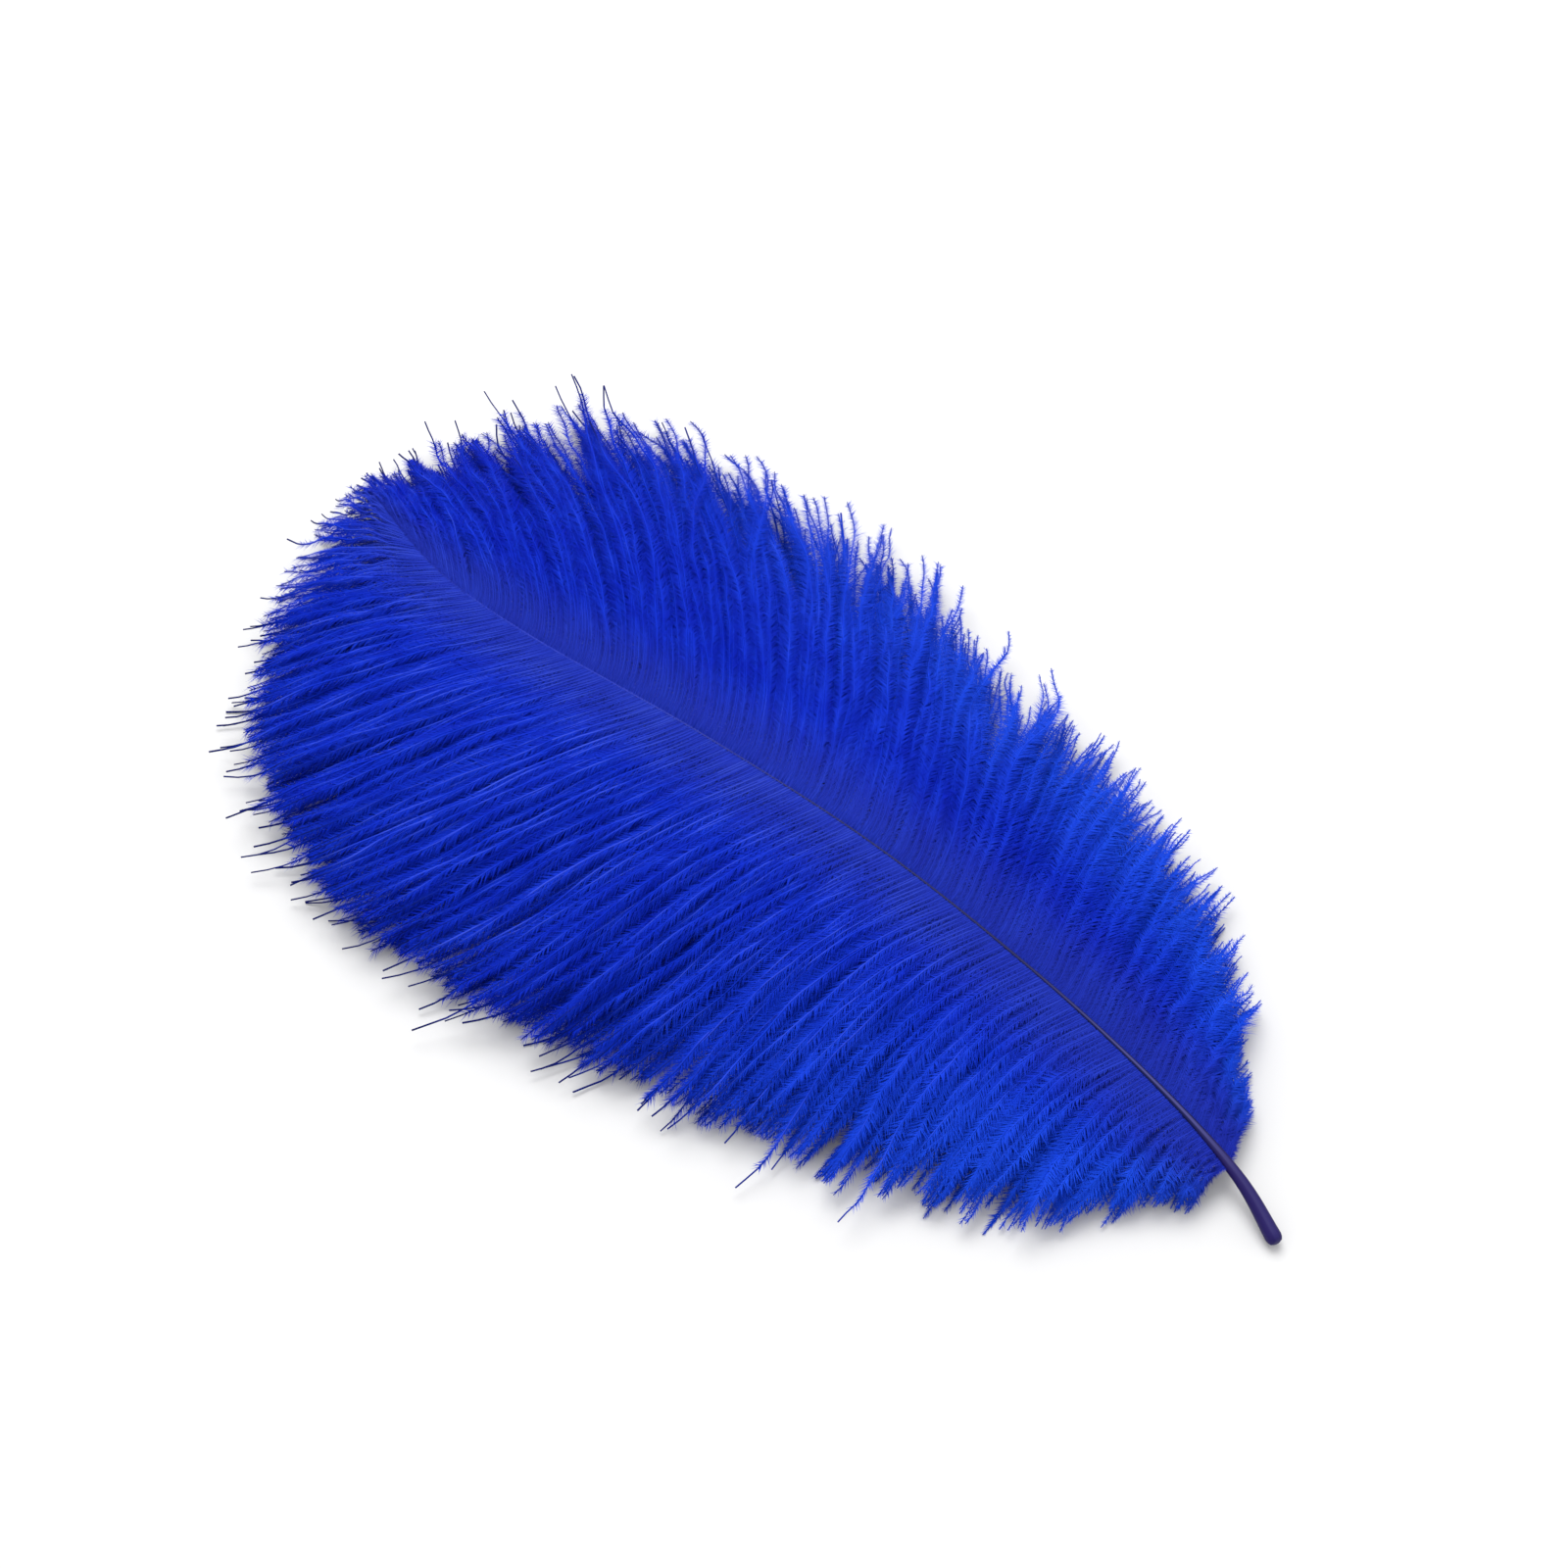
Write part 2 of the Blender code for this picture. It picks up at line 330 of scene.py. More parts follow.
def barb_height(barb, t, reach):
    """How high a barb runs, from the shaft to its end."""
    droop = 1 - (1 - np.minimum(1.0, t / barb["lands_at"]) ** DROOP_START) ** DROOP_END
    root = np.interp(barb["share"], SHAFT_SHARES, SHAFT_LINE[:, 2])
    swell = (barb["lift"] + SWELL) * min(1.0, reach / FULL_REACH) * np.sin(math.pi * np.minimum(t, 1.0))
    height = root * (1 - droop) + barb["tip_height"] * droop + swell
    height = height + barb["curl"] * smooth_step(*CURLS_OVER, t)
    dive = barb["dive"] * smooth_step(*DIVES_OVER, t)
    height = height + dive * ripple(t, barb["dives"], barb["strand_phase"])
    return np.maximum(height, LEAST_HEIGHT)


def barb_line(grid, barb):
    """The middle line of a barb, from the shaft to its tip."""
    t = np.linspace(0, 1, LINE_POINTS) * barb["stretch"]
    plan = barb_plan(grid, barb, t)
    along = np.gradient(plan, axis=0)
    along /= np.linalg.norm(along, axis=1)[:, None]
    across = np.stack([along[:, 1], -along[:, 0]], -1)
    reach = np.linalg.norm(plan[-1] - plan[0])
    overlap = ROOT_OVERLAP * (1 - smooth_step(*OVERLAP_FADES, t))
    plan = plan + across * barb_sway(barb, t, reach)[:, None] - along * overlap[:, None]
    return np.column_stack([plan, barb_height(barb, t, reach)])


def frame_along(line, roll):
    """The direction of a line, the direction across it and the direction up from it, at each of its points."""
    along = np.gradient(line, axis=0)
    along /= np.linalg.norm(along, axis=1)[:, None]
    across = np.cross((0.0, 0.0, 1.0), along)
    across /= np.linalg.norm(across, axis=1)[:, None]
    up = np.cross(along, across)
    turn = (np.cos(roll)[:, None], np.sin(roll)[:, None])
    return along, across * turn[0] + up * turn[1], up * turn[0] - across * turn[1]


print("barb line", LINE_POINTS, "points, swell", 1000 * SWELL, "mm")

# %% [markdown]
# ## Laying one barb
# The comb is laid along the barb's line. Barbules start short and tight at the shaft, are longest and softest
# further out, and stop before the end, where only the rod is left as a fine dark hair. They hang down on both
# sides of the rod like a roof, and that roof is what the light draws as a bright ridge with a dark valley on each
# side. Towards the end of a barb they are held together in small tufts, and on the soft barbs near the quill they
# also close in on the rod, so that those barbs end in a point.

# %% One barb
ROD_RADIUS = 0.00018
HAIR_TIP_RADIUS = 0.00020
ROD_TIP_RADIUS = 0.00011
ROD_THINNING = 0.8
TUFT = 4
TUFTS_OVER = (0.72, 0.98)
ROLLS_OVER = (0.0, 0.02)
GROWS_OVER = (0.002, 0.020)
ROOT_SIZE = 0.30
ROOT_HANG = 0.1
ROOT_LEAN = 1.3
ROOT_LEANS_OVER = (0.001, 0.007)
THINS_OVER = (0.70, 1.0)
FLUFFS_OVER = (0.5, 1.0)
CLOSES_OVER = (0.75, 1.0)
FEWEST_BARBULES = 8
UNEVEN_SIZE = (0.55, 1.15)
UNEVEN_LEAN = 0.15
UNEVEN_HANG = 0.14
# Painted shade: lighter and darker patches along each barb, standing in for the depth of the vane.
PAINTED_SHADE_PATCHES = 0.30
TABLE_GAP = 0.0001
COMB_STRIP = (0.42, 0.40)
ROD_STRIP = (0.91, 0.04)


def lay_barbules(barb, comb, place, covered, line, run, directions, draw):
    """The comb laid along a barb, with each barbule's base on the rod and its end out and down."""
    barbule_end = np.abs(comb[:, 1])
    out = place / covered
    tuft = (np.floor(comb[:, 0] / TUFT) + 0.5) * TUFT * BARBULE_PITCH
    held = barbule_end * barb["tufts"] * smooth_step(*TUFTS_OVER, out)
    spot, ahead, aside, above = (read_line(place + held * (tuft - place), run, values)
                                 for values in (line, *directions))
    away = smooth_step(*GROWS_OVER, place)
    size = barb["barbule"] * at_least(ROOT_SIZE, away)
    size = size * (1 - barb["thin_end"] * smooth_step(*THINS_OVER, out))
    size = size * draw.uniform(*UNEVEN_SIZE, len(comb))
    loose = 1 + barb["fluff"] * smooth_step(*FLUFFS_OVER, out)
    lean = barb["barbule_lean"] + draw.normal(0, UNEVEN_LEAN, len(comb)) * loose
    hang = (barb["hang"] + draw.normal(0, UNEVEN_HANG, len(comb))) * at_least(ROOT_HANG, away)
    lean = lean + (ROOT_LEAN - lean) * (1 - smooth_step(*ROOT_LEANS_OVER, place))
    lean = lean * (1 - barb["closing"] * smooth_step(*CLOSES_OVER, out))
    forward = ahead * (size * np.cos(lean))[:, None]
    sideways = aside * (size * np.sin(lean) * comb[:, 1])[:, None]
    down = above * (size * np.sin(lean) * hang)[:, None]
    return spot + barbule_end[:, None] * (forward + sideways - down)


def lay_rod(barb, line, run, directions):
    """The rod laid along a barb, thinner towards its end unless it ends as a bare hair."""
    _, across, up = directions
    spot, aside, above = (read_line(ROD_POINTS[:, 0] * run[-1], run, values) for values in (line, across, up))
    tip_radius = HAIR_TIP_RADIUS if barb["hair"] else ROD_TIP_RADIUS
    radius = ROD_RADIUS + (tip_radius - ROD_RADIUS) * ROD_POINTS[:, 0] ** ROD_THINNING
    radius = radius * barb["thickness"]
    return spot + aside * (ROD_POINTS[:, 1] * radius)[:, None] + above * (ROD_POINTS[:, 2] * radius)[:, None]


def lay_barb(grid, barb, draw):
    """One barb as points, triangles, its flat ends and the values that its finish reads."""
    line = barb_line(grid, barb)
    run = lengths_along(line)
    length = run[-1]
    roll = (barb["roll"] + barb["twist"] * np.linspace(0, 1, LINE_POINTS)) * smooth_step(*ROLLS_OVER, run)
    directions = frame_along(line, roll)
    count = int(np.clip((length - barb["bare"]) / BARBULE_PITCH, FEWEST_BARBULES, MOST_BARBULES))
    comb = COMB_POINTS[:3 * count + 1]
    faces = COMB_FACES[:2 * count]
    place = comb[:, 0] * BARBULE_PITCH
    barbules = lay_barbules(barb, comb, place, count * BARBULE_PITCH, line, run, directions, draw)
    rod = lay_rod(barb, line, run, directions)
    from_shaft = np.concatenate([place, ROD_POINTS[:, 0] * length])
    values = {
        "along": np.concatenate([place / length, ROD_POINTS[:, 0]]),
        "from_shaft": from_shaft,
        "out": np.concatenate([np.abs(comb[:, 1]), np.zeros(len(rod))]),
        "rod": np.concatenate([np.zeros(len(comb)), np.ones(len(rod))]),
        # Painted shade: the tone rises and falls in patches along the barb.
        "tone_and_shade": barb["tone_and_shade"] + PAINTED_SHADE_PATCHES * np.sin(2 * math.pi * (from_shaft / barb["patch"] + barb["patch_phase"])),
        "fluff": np.full(len(comb) + len(rod), barb["fluff"]),
        "strip": np.concatenate([COMB_STRIP[0] + COMB_STRIP[1] * comb[:, 1],
                                 ROD_STRIP[0] + ROD_STRIP[1] * ROD_POINTS[:, 1]]),
    }
    points = np.vstack([barbules, rod])
    points[:, 2] = np.maximum(points[:, 2], TABLE_GAP)
    ends = np.concatenate([np.zeros(len(faces), bool), ROD_ENDS])
    return points, np.vstack([faces, ROD_FACES + len(comb)]), ends, values


print("rod", round(2000 * ROD_RADIUS, 2), "mm across, barbules every", round(1000 * BARBULE_PITCH, 2), "mm")

# %% [markdown]
# ## Planning a layer of barbs
# Real barbs hang in strands of a few, and the strands in locks. So each layer is planned before it is laid: barbs
# are shared out to strands and locks, and each strand and lock gets its own length, lean and tone. Three layers,
# from a lower one that rests on the table to an upper one, give the vane its depth. Some barbs run on past the
# fringe as bare hairs, and a few stray from their lock. The random draws are seeded, so the plume is the same
# every time. Drawing strands by hand would take days and look no more natural.

# %% A layer of barbs
LOCKS = {"right": 38, "left": 58}
STRANDS = {"right": 90, "left": 124}
STRAND_WAVE = {"right": 0.0022, "left": 0.0009}
STRAND_LEAN = {"right": 1.8, "left": 1.0}
LOCK_LEAN = {"right": 3.8, "left": 3.6}
LOCK_OUT = {"right": 1.2, "left": 9}
STRAY_OUT = {"right": 3, "left": 9}
STRAY_IN = -9
BODY = {"right": 0.985, "left": 0.925}
CRINKLE = {"right": 1.2, "left": 0.9}
# Painted shade: the right vane's colour is set darker than the left's, to offset the stronger light that falls on
# it.
SIDE_PAINTED_SHADE = {"right": -0.55, "left": -0.05}
FLUFFY_UNTIL = {"right": (0.25, 0.75), "left": (0.10, 0.50)}
SEED = 5
LAYERS = {
    "upper": {
        "count": 268, "lift": (0.0008, 0.0024), "tip_height": (0.0020, 0.0070), "lands_at": (1.0, 1.12),
        "stretch": {"right": 1.005, "left": 1.01}, "shorter_at_tip": 0.0,
        "lean": 1.6, "roll": 10, "gather": 1.0, "locks": 1.0, "hairs": 0.24,
    },
    "middle": {
        "count": 260, "lift": (-0.0010, 0.0008), "tip_height": (0.0010, 0.0045), "lands_at": (0.94, 1.05),
        "stretch": {"right": 0.97, "left": 0.99}, "shorter_at_tip": 0.15,
        "lean": 1.4, "roll": 12, "gather": 0.4, "locks": 0.78, "hairs": 0.16,
    },
    "lower": {
        "count": 236, "lift": (-0.0034, -0.0014), "tip_height": (0.0004, 0.0025), "lands_at": (0.88, 1.0),
        "stretch": {"right": 0.94, "left": 0.98}, "shorter_at_tip": 0.15,
        "lean": 0.9, "roll": 12, "gather": 0.12, "locks": 0.6, "hairs": 0.08,
    },
}
RANGES = {
    "uneven_pitch": (-0.35, 0.35),
    "hair_length": (0.04, 0.15),
    "cling": (0.25, 0.60),
    "gather": (0.20, 0.65),
    "tufts": (0.3, 0.9),
    "own_stretch": (-0.03, 0.03),
    "wave": (0.0002, 0.0011),
    "waves": (0.8, 2.2),
    "kink": (0.00010, 0.00032),
    "kinks": (4.0, 7.0),
    "bare_part": (0.7, 1.2),
    "barbule": (0.9, 1.1),
    "hang": (0.10, 0.36),
    "thickness": (0.85, 1.2),
    "patch": (0.012, 0.024),
    "dive": (0.0002, 0.0007),
    "dives": (1.5, 3.5),
    "own_tone": (-0.25, 0.25),
    "any": (0, 1),
}
UNEVEN_LOCKS = 0.35
UNEVEN_STRANDS = 0.45
LOCK_LIFT = 0.0005
STRAYS = 0.07
OWN_LEAN = 0.8
CURL = 0.0008
TWIST = 0.3
OWN_ROLL = 0.6
STRAND_LIFTS = 0.65
LEAST_BARE = 0.0006
BARBULE_LENGTH = 0.0040
BARBULE_LEAN, FLUFFY_LEAN = 32, 15
THIN_END, FLUFFY_THIN_END = 0.30, 0.40
CLOSING = 0.45
NEAR_TIP = (0.84, 0.97)
FIRST_BARBS = (0.07, 0.12)
FIRST_BARBS_DARKER = 1.2


def shares_out(draw, groups, uneven):
    """The edges between groups along the vane, unevenly spaced."""
    edges = np.linspace(0, 1, groups + 1)
    edges[1:-1] += draw.uniform(-uneven, uneven, groups - 1) / groups
    return edges


def group_at(edges, place):
    """The group that a place falls in, and the middle of that group."""
    group = min(np.searchsorted(edges, place) - 1, len(edges) - 2)
    return group, (edges[group] + edges[group + 1]) / 2


def plan_groups(word, sizes, draw):
    """What the barbs of each lock and of each strand have in common."""
    locks = round(LOCKS[word] * sizes["locks"])
    strands = STRANDS[word]
    plan = {
        "lock_edges": shares_out(draw, locks, UNEVEN_LOCKS),
        "strand_edges": shares_out(draw, strands, UNEVEN_STRANDS),
        "lock_stretch": draw.uniform(-1, 1, locks),
        "lock_tone": draw.uniform(-0.5, 0.5, locks),
        "lock_lean": draw.normal(0, math.radians(LOCK_LEAN[word]), locks),
        "lock_lift": draw.uniform(-LOCK_LIFT, LOCK_LIFT, locks),
        "lock_phase": draw.uniform(0, 1, locks),
        "strand_stretch": draw.uniform(-1, 1, strands),
        "strand_lean": draw.normal(0, math.radians(sizes["lean"]) * 0.5 * STRAND_LEAN[word], strands),
        "strand_lift": draw.uniform(0, 1, strands),
        "strand_roll": draw.normal(0, math.radians(sizes["roll"]), strands),
        "strand_tone": draw.uniform(-0.5, 0.5, strands),
        "strand_wave": draw.normal(0, STRAND_WAVE[word], strands),
        "strand_phase": draw.uniform(0, 1, strands),
    }
    plan["lock_lean"] = np.minimum(plan["lock_lean"], math.radians(LOCK_OUT[word]))
    return plan


def plan_barb(word, sizes, plan, place, draw):
    """The sizes of one barb. The order of the draws decides the plume, so it stays as it is."""
    def drawn(key):
        return draw.uniform(*RANGES[key])

    vane, side, _ = VANES[word]
    right = side > 0
    share = FIRST_BARB + BARB_SPAN * place
    lock, lock_middle = group_at(plan["lock_edges"], place)
    strand, strand_middle = group_at(plan["strand_edges"], place)
    off_middle = abs(place - lock_middle) * 2 * (len(plan["lock_edges"]) - 1)
    fluffy = 1 - smooth_step(*FLUFFY_UNTIL[word], share)
    near_tip = smooth_step(*NEAR_TIP, share)
    stray = drawn("any") < STRAYS
    hair = drawn("any") < sizes["hairs"] * (1 - 0.9 * fluffy) ** 2
    body = 1.0 + (BODY[word] - 1.0) * (1 - fluffy)
    ragged = 1.0 if right else at_least(0.35, fluffy)
    rounding = 0.09 if right else 0.05 + 0.08 * fluffy
    extra = drawn("hair_length") if hair else 0.0
    reach = np.interp(share, STATIONS, vane["reach"])
    held = at_least(0.3, sizes["gather"])
    low_lift, high_lift = sizes["lift"]
    return {
        "share": share,
        "strand": FIRST_BARB + BARB_SPAN * strand_middle,
        "lock": FIRST_BARB + BARB_SPAN * lock_middle,
        "cling": drawn("cling") * held,
        "gather": sizes["gather"] * (drawn("gather") + (0.30 if right else 0.35 * fluffy)),
        "fluff": fluffy,
        "tufts": drawn("tufts"),
        "stretch": (sizes["stretch"][word] - sizes["shorter_at_tip"] * near_tip) * (body + extra + ragged * (
            0.04 * plan["lock_stretch"][lock] + 0.03 * plan["strand_stretch"][strand] + drawn("own_stretch")
            - rounding * off_middle ** 2 + 0.02)),
        "lean": plan["lock_lean"][lock] * at_least(0.4, fluffy) * held + plan["strand_lean"][strand]
                + math.radians(draw.uniform(STRAY_IN, STRAY_OUT[word]) if stray else draw.normal(0, OWN_LEAN)),
        "strand_wave": plan["strand_wave"][strand],
        "strand_phase": plan["strand_phase"][strand],
        "wave": drawn("wave"),
        "waves": drawn("waves"),
        "phase": drawn("any"),
        "kink": drawn("kink") * CRINKLE[word],
        "kinks": drawn("kinks"),
        "lift": low_lift + (high_lift - low_lift) * (STRAND_LIFTS * plan["strand_lift"][strand]
                                                     + (1 - STRAND_LIFTS) * drawn("any"))
                + plan["lock_lift"][lock],
        "lands_at": draw.uniform(*sizes["lands_at"]),
        "tip_height": draw.uniform(*sizes["tip_height"]),
        "curl": draw.normal(0, CURL),
        "roll": plan["strand_roll"][strand] + draw.normal(0, math.radians(sizes["roll"]) * OWN_ROLL),
        "twist": draw.normal(0, TWIST),
        "bare": max(LEAST_BARE, extra * reach * drawn("bare_part") * (1 - 0.5 * fluffy)),
        "barbule": BARBULE_LENGTH * drawn("barbule") * (1 - 0.3 * near_tip),
        "barbule_lean": math.radians(BARBULE_LEAN + FLUFFY_LEAN * fluffy),
        "thin_end": THIN_END + FLUFFY_THIN_END * fluffy,
        "closing": CLOSING * fluffy,
        "hair": hair,
        "hang": drawn("hang"),
        "thickness": drawn("thickness"),
        "patch": drawn("patch"),
        "patch_phase": 0.5 * plan["lock_phase"][lock] + plan["strand_phase"][strand],
        "dive": drawn("dive") * at_least(0.4, sizes["gather"]),
        "dives": drawn("dives"),
        # The tone carries painted shade as well as the dye: the side's painted shade darkens the whole right
        # vane.
        "tone_and_shade": (SIDE_PAINTED_SHADE[word] + 0.45 * plan["lock_tone"][lock] + 0.35 * plan["strand_tone"][strand]
                 + drawn("own_tone") - FIRST_BARBS_DARKER * (1 - smooth_step(*FIRST_BARBS, share))),
    }


def plan_layer(word, layer, draw):
    sizes = LAYERS[layer]
    count = sizes["count"]
    places = (np.arange(count) + 0.5) / count + draw.uniform(*RANGES["uneven_pitch"], count) / count
    plan = plan_groups(word, sizes, draw)
    return [plan_barb(word, sizes, plan, place, draw) for place in places]


print("barbs planned", 2 * sum(sizes["count"] for sizes in LAYERS.values()))

# %% [markdown]
# ## A layer as one mesh
# Hundreds of barbs as hundreds of objects would be slow to handle, so those of a layer are joined in one mesh.
# Its points, triangles and values are handed over as whole arrays, which takes a fraction of the time that a
# loop over faces would. Each barb gets its own strip of the UV map, so that no two of them share a spot on it.

# %% The mesh of a layer
LONGEST_BARB = 0.145
UV_MARGIN = 0.01
TRIANGLE = 3


def mesh_from(name, points, faces, ends, values, uv, material):
    mesh = bpy.data.meshes.new(name)
    mesh.vertices.add(len(points))
    mesh.vertices.foreach_set("co", points.ravel())
    mesh.loops.add(faces.size)
    mesh.loops.foreach_set("vertex_index", faces.ravel())
    mesh.polygons.add(len(faces))
    mesh.polygons.foreach_set("loop_start", np.arange(0, faces.size, TRIANGLE))
    mesh.polygons.foreach_set("use_smooth", ~ends)
    mesh.update(calc_edges=True)
    for key, numbers in values.items():
        mesh.attributes.new(key, "FLOAT", "POINT").data.foreach_set("value", numbers.astype(np.float32))
    mesh.uv_layers.new(name="OFBake").data.foreach_set("uv", uv[faces.ravel()].ravel())
    mesh.materials.append(material)
    piece = bpy.data.objects.new(name, mesh)
    bpy.context.scene.collection.objects.link(piece)
    return piece


def lay_layer(word, layer, material, seed):
    grid = VANES[word][2]
    draw = np.random.default_rng(seed)
    barbs = plan_layer(word, layer, draw)
    points, faces, ends, values = [], [], [], {}
    start = 0
    for index, barb in enumerate(barbs):
        its_points, its_faces, its_ends, its_values = lay_barb(grid, barb, draw)
        its_values["strip"] = (index + its_values["strip"]) / len(barbs)
        points.append(its_points)
        faces.append(its_faces + start)
        ends.append(its_ends)
        start += len(its_points)
        for key, numbers in its_values.items():
            values.setdefault(key, []).append(numbers)
    values = {key: np.concatenate(parts) for key, parts in values.items()}
    up_the_strip = UV_MARGIN + (1 - 2 * UV_MARGIN) * values["from_shaft"] / LONGEST_BARB
    uv = np.column_stack([values.pop("strip"), up_the_strip])
    piece = mesh_from(f"{word}_barbs_{layer}", np.vstack(points), np.vstack(faces), np.concatenate(ends),
                      values, uv, material)
    print(piece.name, len(barbs), "barbs,", len(piece.data.polygons), "triangles")
    return piece


# %% [markdown]
# ## Shader maths that reads like arithmetic
# A finish is worked out from a few values on the mesh, such as how far out on a barb a point is. Wrapped in a
# small class, a socket can be added and multiplied in plain expressions, and each sign adds its Math node.

# %% A wrapped socket and a finish
class Value:
    """One output of a node."""

    def __init__(self, finish, output):
        self.finish = finish
        self.output = output

    def __add__(self, other):
        return self.finish.maths("ADD", self, other)

    def __radd__(self, other):
        return self.finish.maths("ADD", other, self)

    def __sub__(self, other):
        return self.finish.maths("SUBTRACT", self, other)

    def __rsub__(self, other):
        return self.finish.maths("SUBTRACT", other, self)

    def __mul__(self, other):
        return self.finish.maths("MULTIPLY", self, other)

    def __rmul__(self, other):
        return self.finish.maths("MULTIPLY", other, self)


class Finish:
    """A material and the nodes that feed its shader."""

    def __init__(self, name):
        self.material = bpy.data.materials.new(name)
        self.material.use_nodes = True
        self.tree = self.material.node_tree
        self.shader = self.tree.nodes["Principled BSDF"]

    def feed(self, socket, value):
        if isinstance(value, Value):
            self.tree.links.new(value.output, socket)
        else:
            socket.default_value = value

    def node(self, kind, settings, sockets, output=0):
        node = self.tree.nodes.new(kind)
        for name, value in settings.items():
            setattr(node, name, value)
        for name, value in sockets.items():
            self.feed(node.inputs[name], value)
        return Value(self, node.outputs[output])

    def maths(self, operation, first, second):
        return self.node("ShaderNodeMath", {"operation": operation}, {0: first, 1: second})

    def mix(self, factor, first, second):
        """A colour between two colours."""
        return self.node("ShaderNodeMix", {"data_type": "RGBA"}, {0: factor, 6: first, 7: second}, output=2)

    def stretch(self, value, low, high):
        """0 where the value is low or less, 1 where it is high or more, and smooth between."""
        return self.node("ShaderNodeMapRange", {"interpolation_type": "SMOOTHSTEP"},
                         {"Value": value, "From Min": low, "From Max": high})

    def on_mesh(self, name):
        return self.node("ShaderNodeAttribute", {"attribute_name": name}, {}, output="Fac")

    def surface(self, **sockets):
        for name, value in sockets.items():
            self.feed(self.shader.inputs[name.replace("_", " ")], value)
        print(self.material.name, "has", len(self.tree.nodes), "nodes")
        return self.material


# %% [markdown]
# ## The dye on the barbs, with painted light and shade
# The barbs took up a strong royal blue. They are lighter and a little dusty beside the shaft, where they are
# packed tight, clear blue on the soft part, and almost navy on the bare hairs of the fringe. No two strands took
# the dye alike, so a value drawn for each strand shifts the blue a little, and a fine noise breaks it up. Light
# and shade are painted into the colour as well: painted shade darkens the right vane, lies in patches along the
# barbs and deepens the barbule ends in the valleys, the rods are paler partly as a painted highlight, and painted
# light turns the soft barbs azure as if it shone through them.

# %% The dyed barbs
DEEP_BLUE = (0.0004, 0.0075, 0.36, 1)
BRIGHT_BLUE = (0.007, 0.038, 0.57, 1)
# The rods are paler partly in their own colour and partly as a painted highlight along each ridge.
PALE_ROD_AND_HIGHLIGHT = (0.032, 0.068, 0.60, 1)
# Painted light: the azure stands in for light shining through the thin soft barbs.
SHINE_THROUGH_AZURE = (0.012, 0.085, 0.74, 1)
DUSTY_BLUE = (0.020, 0.034, 0.29, 1)
NAVY = (0.002, 0.003, 0.04, 1)
GRAIN_SCALE = 260.0
GRAIN_DETAIL = 3.0
DYE_AND_SHADE_SPAN = (-0.5, 1.1)
RODS_SHOW = (-0.3, 0.5)
AZURE_OVER = (0.2, 0.8)
MOST_AZURE = 0.60
DUSTY_OVER = (0.003, 0.022)
MOST_DUSTY = 0.55
HAIR_OVER = (0.80, 0.97)
MOST_NAVY = 0.85


def dyed_and_shaded_barbs():
    finish = Finish("dyed_and_shaded_barbs")
    along, out, rod, tone_and_shade, fluff = (finish.on_mesh(name) for name in ("along", "out", "rod", "tone_and_shade", "fluff"))
    grain = finish.node("ShaderNodeTexNoise", {"noise_dimensions": "3D"},
                        {"Vector": finish.node("ShaderNodeTexCoord", {}, {}, output="Object"),
                         "Scale": GRAIN_SCALE, "Detail": GRAIN_DETAIL})
    # Painted shade: besides the tone and the fine noise, each barbule is coloured darker towards its end, where
    # it hangs into the valley between strands, and lighter at the ridge by the rod.
    dye_and_valley_shade = 0.45 * tone_and_shade + 0.55 * (1 - out) + 0.5 * (grain - 0.5)
    blue = finish.mix(finish.stretch(dye_and_valley_shade, *DYE_AND_SHADE_SPAN), DEEP_BLUE, BRIGHT_BLUE)
    # Painted light: the soft barbs turn azure further out, as if light shone through them.
    blue = finish.mix(MOST_AZURE * fluff * finish.stretch(along, *AZURE_OVER), blue, SHINE_THROUGH_AZURE)
    # Paler rods, partly a painted highlight, shown less on the soft barbs.
    blue = finish.mix(rod * finish.stretch(tone_and_shade, *RODS_SHOW) * (1 - 0.8 * fluff), blue, PALE_ROD_AND_HIGHLIGHT)
    near_shaft = 1 - finish.stretch(finish.on_mesh("from_shaft"), *DUSTY_OVER)
    blue = finish.mix(MOST_DUSTY * near_shaft, blue, DUSTY_BLUE)
    hair = finish.stretch(along, *HAIR_OVER) * rod
    blue = finish.mix(MOST_NAVY * hair * (1 - 0.7 * fluff), blue, NAVY)
    return finish.surface(Base_Color=blue, Roughness=0.55 + 0.15 * grain, Specular_IOR_Level=0.03)


BARBS = dyed_and_shaded_barbs()

# %% [markdown]
# ## Both vanes
# A vane is one web on the real plume. Here it is three pieces, because its barbs together have more triangles
# than one piece should hold, and because the layers differ in how far they lift, lean and gather. Each piece has
# a seed of its own, so that no two of them repeat a pattern.

# %% Both vanes, in three layers
PIECES = []
for number, (word, layer) in enumerate((w, l) for w in VANES for l in LAYERS):
    PIECES.append(lay_layer(word, layer, BARBS, SEED + number))

# %% [markdown]
# ## Quill and shaft
# The quill is round, hard and hollow, and was cut off blunt. Here its end is closed and rounded over. Further up
# it flattens into the shaft, with a shallow groove along its upper face. Along the top runs a pale painted
# highlight between the shaft's own dark navy sides. A bevelled curve would be quicker, but it has no groove. So
# it is made from a cylinder whose long edges are subdivided, laid on the same line as the barbs and thinned
# towards the tip.

# %% The quill and shaft
QUILL_RADIUS = 0.0017
RACHIS_RADIUS = 0.00088
SHAFT_TIP_RADIUS = 0.00022
QUILL_SHARE = 0.10
THINNING = 0.12
SHAFT_SIDES = 16
SHAFT_STEPS = 150
GROOVE = 0.35
GROOVE_WIDTH = 0.35
GROOVE_OVER = (0.02, 0.10)
END_STEPS = 1.5
ROUNDED_SHARE = 0.006
END_FULLNESS = 0.45
UV_HALF = 0.49
QUILL_EDGE = (0.012, 0.006, 0.085, 1)
SHAFT_EDGE = (0.002, 0.004, 0.06, 1)
